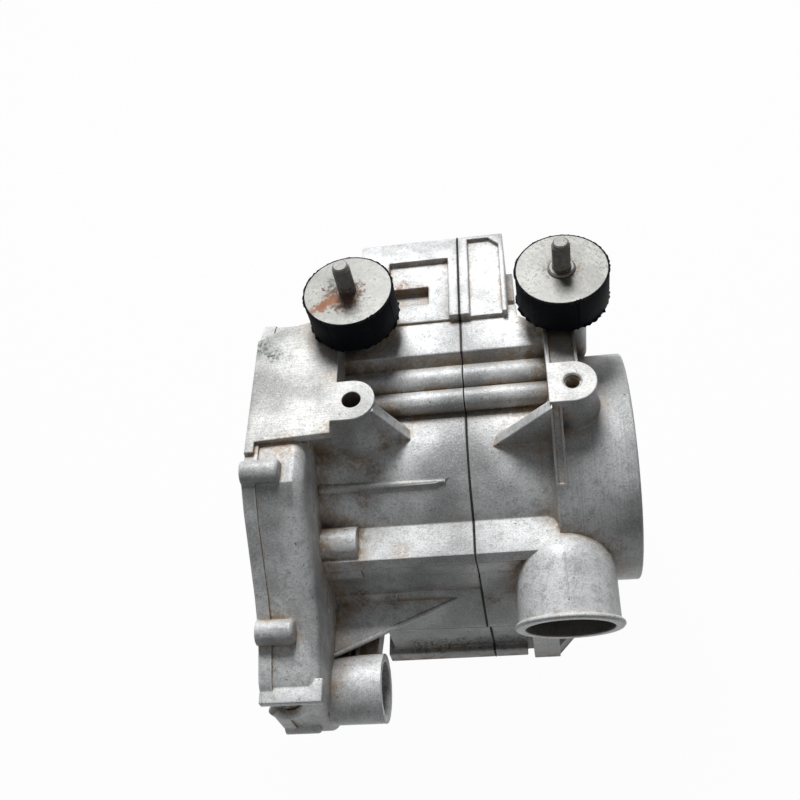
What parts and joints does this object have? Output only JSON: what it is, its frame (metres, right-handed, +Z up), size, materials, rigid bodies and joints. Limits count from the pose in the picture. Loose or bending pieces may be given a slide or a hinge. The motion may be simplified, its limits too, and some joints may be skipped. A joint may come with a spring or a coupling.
{
  "type": "engine crankcase",
  "caption": "Vertically split cast aluminium engine crankcase with side cover housing, round spigot, hose elbow, ring lug and stud-type rubber mounts.",
  "frame": {"origin": "crank line at the middle of the joint between the two case halves", "axes": "+X along the crank line to the round spigot, +Y to the back box, +Z up through the mounting bosses; the case stands on its cylinder deck"},
  "size_m": [0.2023, 0.259, 0.231],
  "materials": {
    "cast_aluminium": "cast",
    "gasket": "matte",
    "bearing_steel": "ground",
    "plated_steel": "zinc plated",
    "mount_rubber": "matte"
  },
  "bodies": {
    "root": {"left_case_half": "cast_aluminium", "right_case_half": "cast_aluminium", "case_gasket": "gasket", "left_bearing_race": "bearing_steel", "right_bearing_race": "bearing_steel", "left_bearing_circlip": "bearing_steel", "right_bearing_circlip": "bearing_steel", "dowel_sleeves": "plated_steel", "housing_screws": "plated_steel", "housing_washers": "plated_steel", "box_screws": "plated_steel", "box_washers": "plated_steel", "left_mount_base_plate": "plated_steel", "left_mount_base_stud": "plated_steel", "left_mount_rubber": "mount_rubber", "left_mount_top_plate": "plated_steel", "left_mount_top_stud": "plated_steel", "right_mount_base_plate": "plated_steel", "right_mount_base_stud": "plated_steel", "right_mount_rubber": "mount_rubber", "right_mount_top_plate": "plated_steel", "right_mount_top_stud": "plated_steel"}
  },
  "joints": []
}
